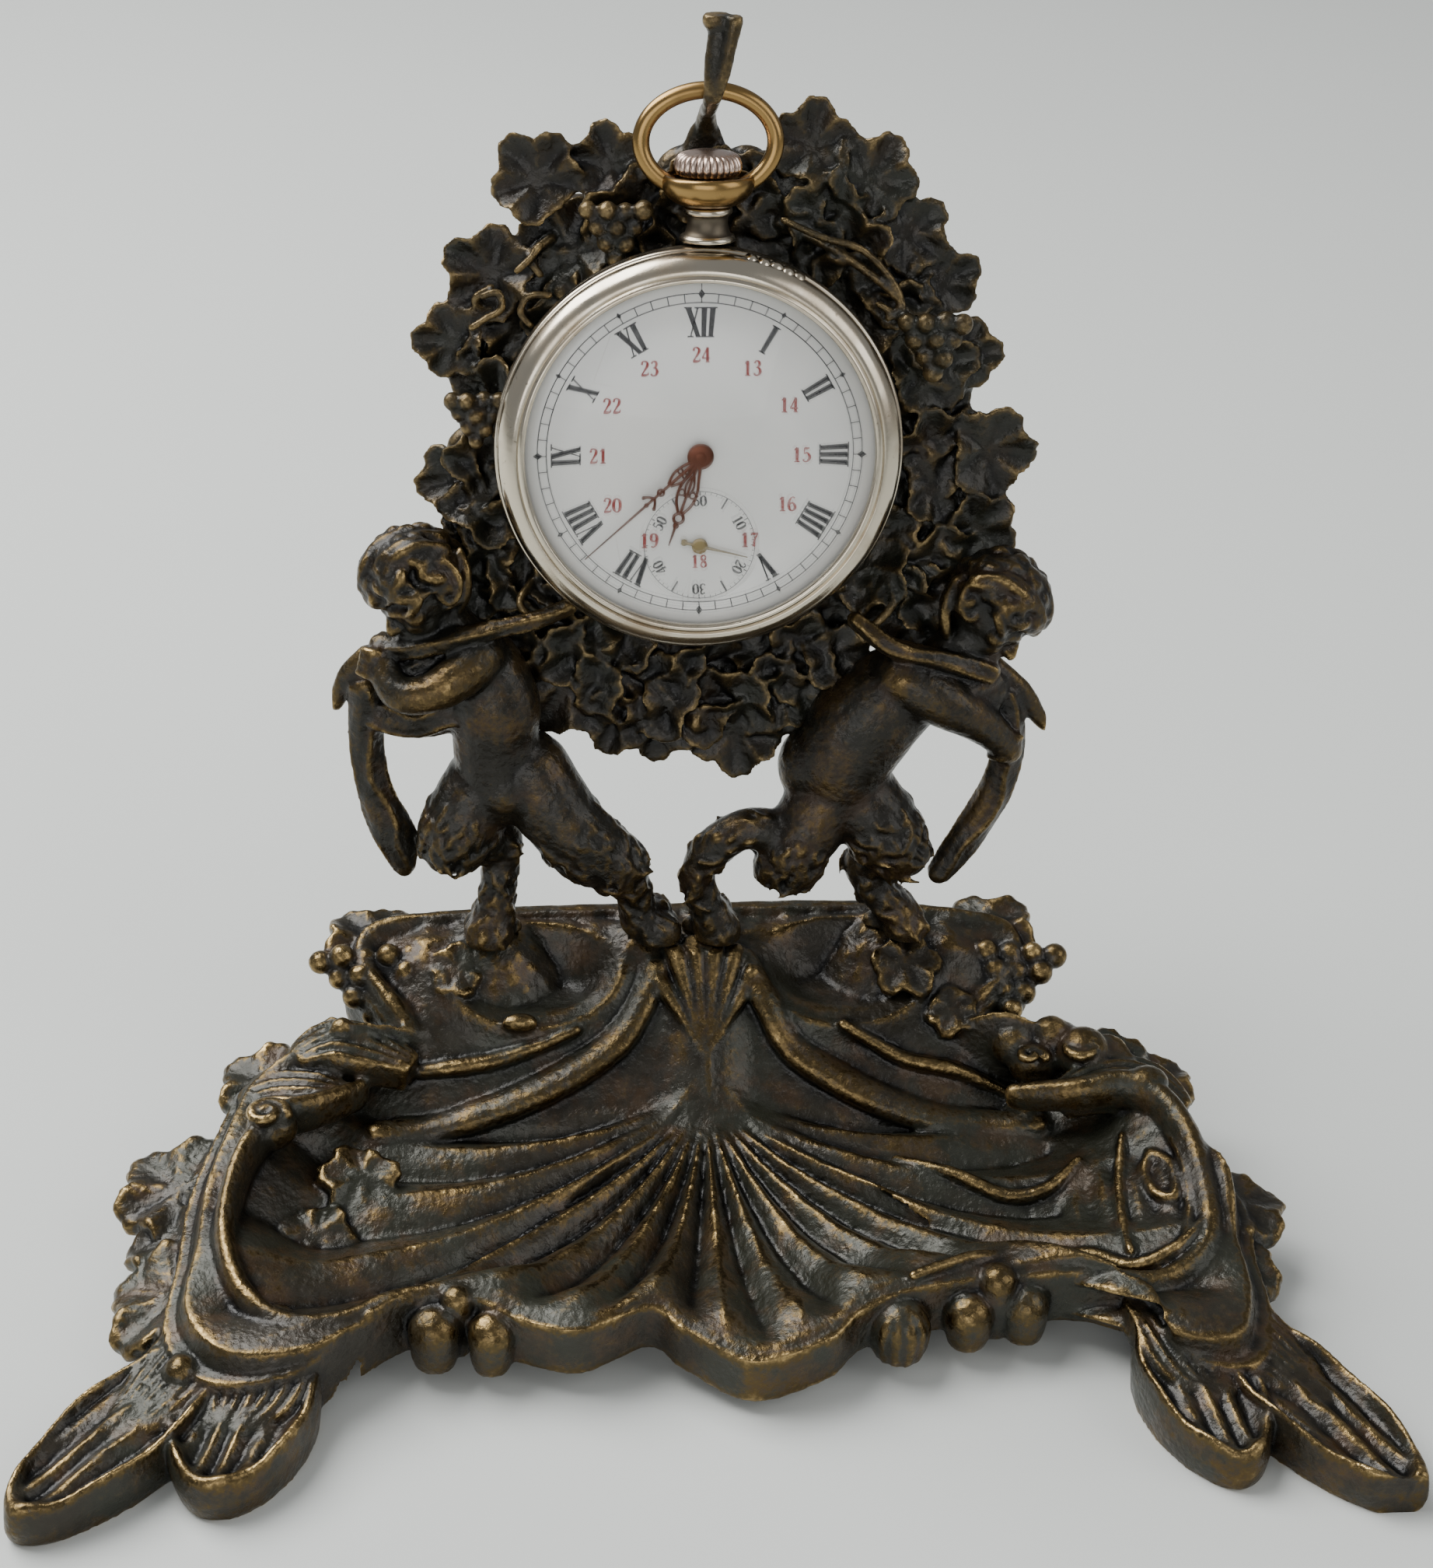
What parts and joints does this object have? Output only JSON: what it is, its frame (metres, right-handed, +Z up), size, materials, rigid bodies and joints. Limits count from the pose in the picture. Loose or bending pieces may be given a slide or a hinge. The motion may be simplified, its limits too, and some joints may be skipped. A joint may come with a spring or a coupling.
{
  "type": "figural pocket watch stand",
  "caption": "Cast bronze pocket-watch stand: satyrs carry a vine wreath with a hook above a shell-shaped tray, holding an open-faced pocket watch.",
  "frame": {"origin": "on the table, below the middle of the whole stand", "axes": "+X to the viewer's right, +Y towards the back of the stand, +Z up; the watch faces -Y"},
  "size_m": [0.1668, 0.1044, 0.1507],
  "materials": {
    "bronze": "dark brown patina, rubbed golden on the high points",
    "silver": "worn silver, softly polished",
    "brass": "worn gilt brass",
    "gilt": "aged copper gilt",
    "enamel": "white enamel with painted numerals",
    "glass": "clear domed glass"
  },
  "bodies": {
    "stand": {"base": "bronze", "satyrs_and_wreath": "bronze", "watch_case": "silver", "bezel": "silver", "crystal": "glass", "dial": "enamel", "bow": "brass"},
    "crown": {"crown": "silver"},
    "minute_hand": {"minute_hand": "gilt"},
    "hour_hand": {"hour_hand": "gilt"},
    "seconds_hand": {"seconds_hand": "gilt"}
  },
  "joints": [
    {"name": "crown_turn", "type": "hinge", "parent": "stand", "child": "crown", "pos_m": [0.00072, 0.04183, 0.1325], "axis": [0, 0.1736, 0.9848], "continuous": true},
    {"name": "minute_hand_turn", "type": "hinge", "parent": "stand", "child": "minute_hand", "pos_m": [-0.00018, 0.03142, 0.0988], "axis": [0, 0.9848, -0.1736], "continuous": true},
    {"name": "hour_hand_turn", "type": "hinge", "parent": "stand", "child": "hour_hand", "pos_m": [-0.00018, 0.03142, 0.0988], "axis": [0, 0.9848, -0.1736], "continuous": true},
    {"name": "seconds_hand_turn", "type": "hinge", "parent": "stand", "child": "seconds_hand", "pos_m": [-0.00018, 0.02941, 0.08737], "axis": [0, 0.9848, -0.1736], "continuous": true}
  ],
  "couplings": [
    {"joint": "hour_hand_turn", "follows": "minute_hand_turn", "ratio": 0.083333}
  ]
}
